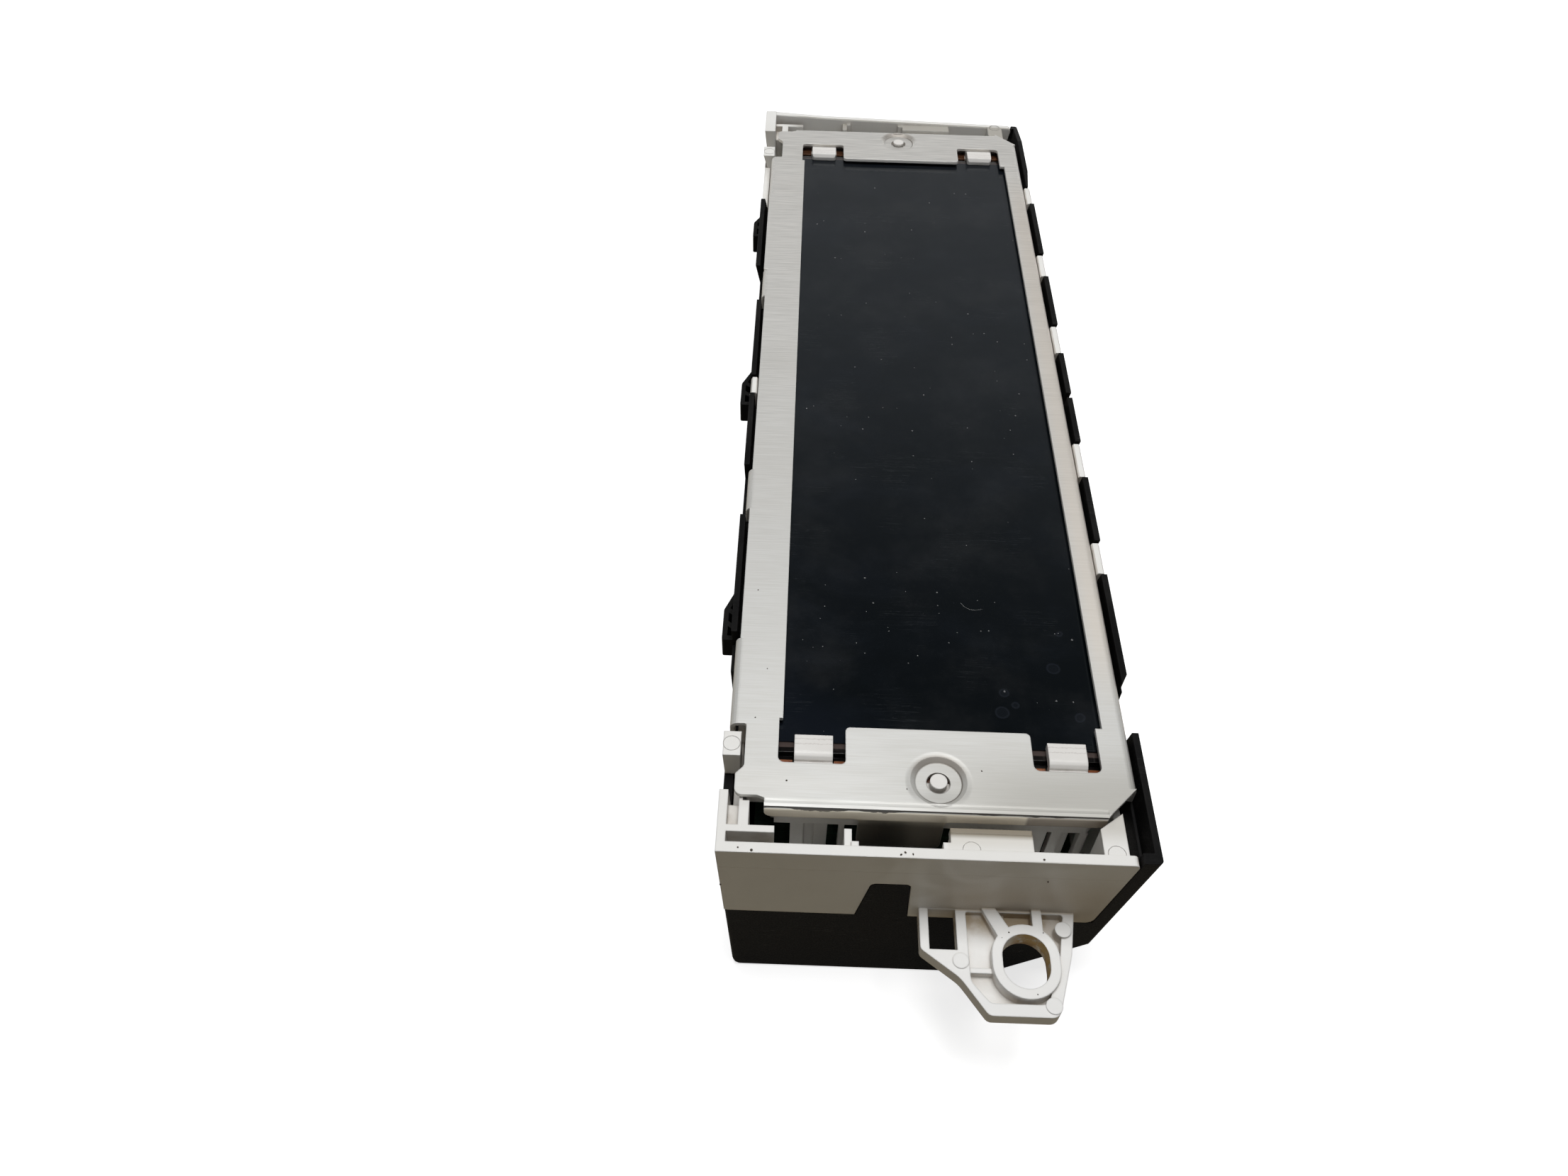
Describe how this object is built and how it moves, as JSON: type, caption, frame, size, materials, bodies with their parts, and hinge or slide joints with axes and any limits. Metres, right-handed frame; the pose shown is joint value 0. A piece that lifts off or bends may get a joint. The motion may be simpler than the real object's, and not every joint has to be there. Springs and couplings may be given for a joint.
{
  "type": "car display screen",
  "caption": "Long dashboard display unit with a dark glass window in a folded steel bezel, a white housing with a slotted screw lug at each end and a black rear cover.",
  "frame": {"origin": "on the rear face the unit lies on, half way along its length and on the middle plane of the case", "axes": "+Z from the rear face to the window, +Y along the unit from one lug to the other, +X across it towards the side whose lower edge is bevelled"},
  "size_m": [0.0538, 0.198, 0.0331],
  "materials": {
    "black_plastic": "fine moulded grain",
    "white_plastic": "satin, slightly aged",
    "bezel_steel": "brushed across",
    "carrier_plastic": "satin",
    "window_film": "gloss, dusty",
    "pane_glass": "polished",
    "rear_film": "gloss",
    "amber_film": "clear amber",
    "diffuser_sheet": "opal",
    "light_box_plastic": "bright white",
    "ribbon_film": "amber film over copper tracks",
    "socket_cream": "satin",
    "board_laminate": "lacquered",
    "lamp_case": "white case, clear lens",
    "chip_black": "fine matt",
    "regulator_black": "fine matt",
    "crystal_can": "satin",
    "capacitor_can": "satin sleeve with a dark mark",
    "coil_ferrite": "sintered",
    "diode_black": "fine matt",
    "chip_parts": "ceramic",
    "socket_black": "fine moulded grain",
    "contact_tin": "tinned",
    "screw_zinc": "bright zinc"
  },
  "bodies": {
    "root": {"rear_cover": "black_plastic", "housing": "white_plastic", "bezel": "bezel_steel", "lcd_carrier": "carrier_plastic", "front_polariser": "window_film", "front_glass": "pane_glass", "rear_glass": "pane_glass", "rear_polariser": "rear_film", "amber_filter": "amber_film", "diffuser": "diffuser_sheet", "light_box": "light_box_plastic", "lcd_ribbon": "ribbon_film", "ribbon_socket": "socket_cream", "circuit_board": "board_laminate", "backlight_leds": "lamp_case", "controller_chip": "chip_black", "driver_chip": "chip_black", "voltage_regulator": "regulator_black", "clock_crystal": "crystal_can", "smoothing_capacitors": "capacitor_can", "power_coil": "coil_ferrite", "protection_diode": "diode_black", "chip_components": "chip_parts", "plug_socket": "socket_black", "socket_contacts": "contact_tin", "board_screws": "screw_zinc"}
  },
  "joints": []
}
